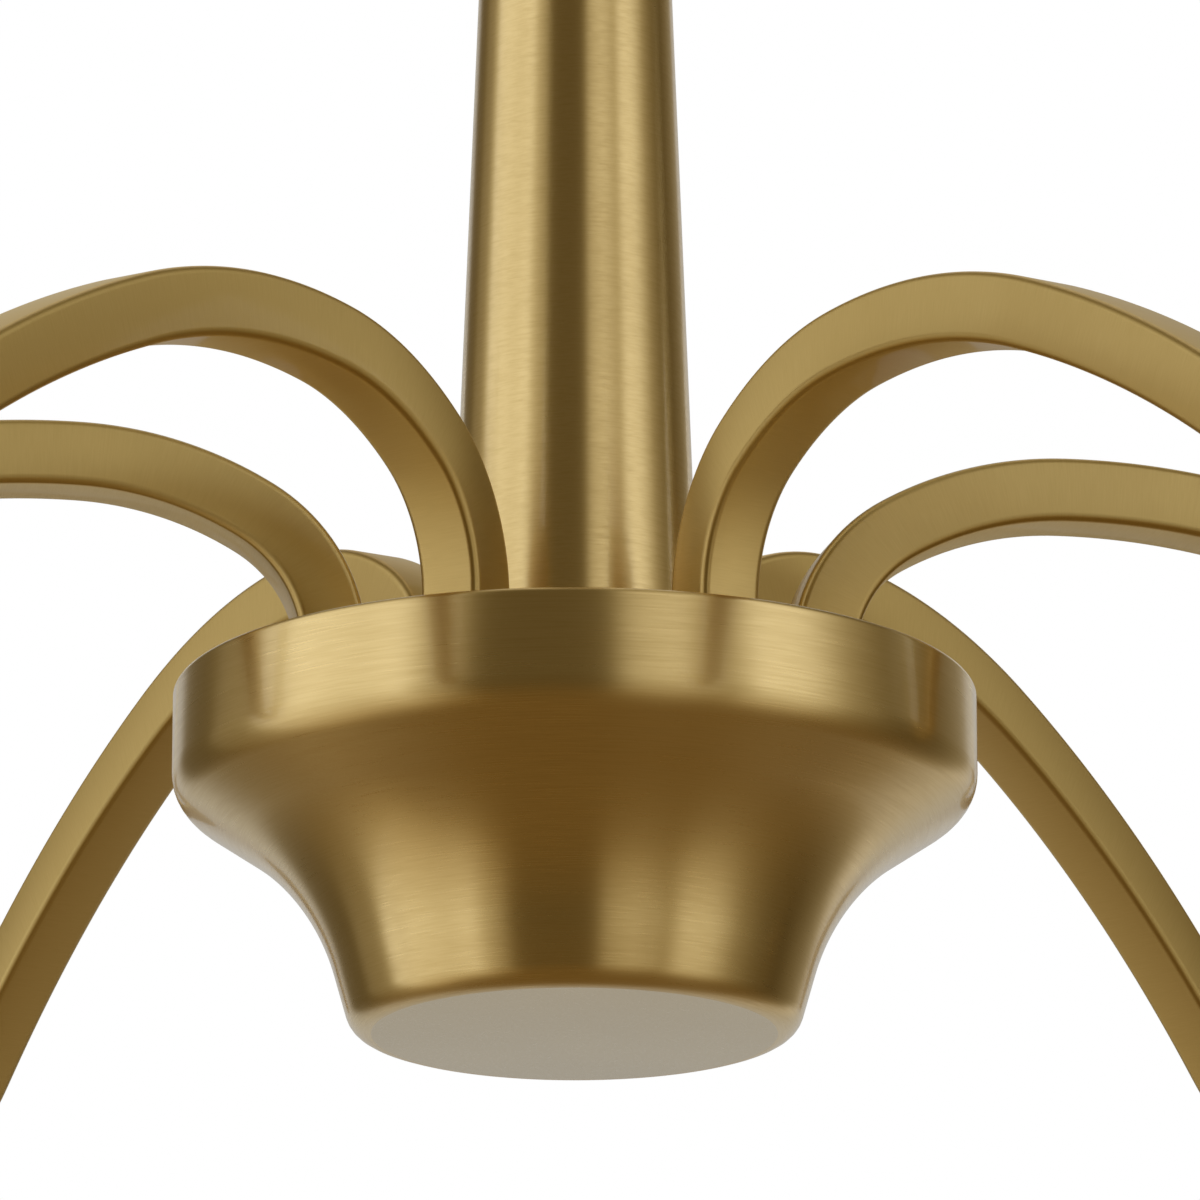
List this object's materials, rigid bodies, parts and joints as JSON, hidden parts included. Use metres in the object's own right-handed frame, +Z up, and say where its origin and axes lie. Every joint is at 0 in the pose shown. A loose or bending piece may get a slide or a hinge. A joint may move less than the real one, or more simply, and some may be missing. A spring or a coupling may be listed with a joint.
{
  "type": "multi arm chandelier",
  "caption": "Ceiling chandelier: square-tube arms arch out of a bowl-shaped hub on a tapered column and carry candle lamps, hung on a stem, hang-straight swivel and canopy.",
  "frame": {"origin": "centre of the ceiling bracket's back face, on the ceiling plane", "axes": "+Z up, normal to the ceiling; X along the ceiling bracket and its two slots; the column and the hub hang down the -Z axis"},
  "size_m": [0.7519, 0.6662, 0.7868],
  "materials": {
    "satin_brass": "satin, fine brushed lines",
    "zinc_steel": "zinc plated",
    "green_screw": "green ground screw",
    "ivory_sleeve": "satin ivory",
    "socket_plastic": "moulded phenolic",
    "clear_glass": "clear"
  },
  "bodies": {
    "ceiling_mount": {"mounting_bracket": "zinc_steel", "ground_screw": "green_screw", "bracket_nipple": "zinc_steel", "bracket_nut": "zinc_steel", "canopy": "satin_brass", "canopy_ring": "satin_brass", "swivel_yoke_upper": "satin_brass", "swivel_pins_upper": "zinc_steel"},
    "swivel_block": {"swivel_block": "satin_brass"},
    "hub_and_stem": {"swivel_yoke_lower": "satin_brass", "swivel_pins_lower": "zinc_steel", "stem_rod_upper": "satin_brass", "stem_coupling": "satin_brass", "stem_rod_lower": "satin_brass", "column_cap": "satin_brass", "column_shell": "satin_brass", "column_base": "zinc_steel", "center_rod": "zinc_steel", "arm_plate": "satin_brass", "plate_nut": "zinc_steel", "hub_bowl": "satin_brass", "bowl_ledge": "zinc_steel", "hub_boss": "zinc_steel"},
    "arm_1": {"arm_1": "satin_brass", "arm_nut_1": "zinc_steel", "drip_pan_1": "satin_brass", "candle_sleeve_1": "ivory_sleeve", "lamp_socket_1": "socket_plastic", "bulb_1": "clear_glass"},
    "arm_2": {"arm_2": "satin_brass", "arm_nut_2": "zinc_steel", "drip_pan_2": "satin_brass", "candle_sleeve_2": "ivory_sleeve", "lamp_socket_2": "socket_plastic", "bulb_2": "clear_glass"},
    "arm_3": {"arm_3": "satin_brass", "arm_nut_3": "zinc_steel", "drip_pan_3": "satin_brass", "candle_sleeve_3": "ivory_sleeve", "lamp_socket_3": "socket_plastic", "bulb_3": "clear_glass"},
    "arm_4": {"arm_4": "satin_brass", "arm_nut_4": "zinc_steel", "drip_pan_4": "satin_brass", "candle_sleeve_4": "ivory_sleeve", "lamp_socket_4": "socket_plastic", "bulb_4": "clear_glass"},
    "arm_5": {"arm_5": "satin_brass", "arm_nut_5": "zinc_steel", "drip_pan_5": "satin_brass", "candle_sleeve_5": "ivory_sleeve", "lamp_socket_5": "socket_plastic", "bulb_5": "clear_glass"},
    "arm_6": {"arm_6": "satin_brass", "arm_nut_6": "zinc_steel", "drip_pan_6": "satin_brass", "candle_sleeve_6": "ivory_sleeve", "lamp_socket_6": "socket_plastic", "bulb_6": "clear_glass"}
  },
  "joints": [
    {"name": "swivel_tilt_x", "type": "hinge", "parent": "ceiling_mount", "child": "swivel_block", "pos_m": [0, 0, -0.067], "axis": [1, 0, 0], "range_deg": [-20, 20]},
    {"name": "swivel_tilt_y", "type": "hinge", "parent": "swivel_block", "child": "hub_and_stem", "pos_m": [0, 0, -0.067], "axis": [0, 1, 0], "range_deg": [-20, 20]},
    {"name": "arm_1_swivel", "type": "hinge", "parent": "hub_and_stem", "child": "arm_1", "pos_m": [0.04637, 0.00349, -0.7228], "axis": [0, 0, 1], "range_deg": [-33.4, 16.6]},
    {"name": "arm_2_swivel", "type": "hinge", "parent": "hub_and_stem", "child": "arm_2", "pos_m": [0.02016, 0.0419, -0.7228], "axis": [0, 0, 1], "range_deg": [-15, 35]},
    {"name": "arm_3_swivel", "type": "hinge", "parent": "hub_and_stem", "child": "arm_3", "pos_m": [-0.0262, 0.03841, -0.7228], "axis": [0, 0, 1], "range_deg": [-21.2, 28.8]},
    {"name": "arm_4_swivel", "type": "hinge", "parent": "hub_and_stem", "child": "arm_4", "pos_m": [-0.04637, -0.00349, -0.7228], "axis": [0, 0, 1], "range_deg": [-28.2, 21.8]},
    {"name": "arm_5_swivel", "type": "hinge", "parent": "hub_and_stem", "child": "arm_5", "pos_m": [-0.02016, -0.0419, -0.7228], "axis": [0, 0, 1], "range_deg": [-19.8, 30.2]},
    {"name": "arm_6_swivel", "type": "hinge", "parent": "hub_and_stem", "child": "arm_6", "pos_m": [0.0262, -0.03841, -0.7228], "axis": [0, 0, 1], "range_deg": [-21.2, 28.8]}
  ]
}
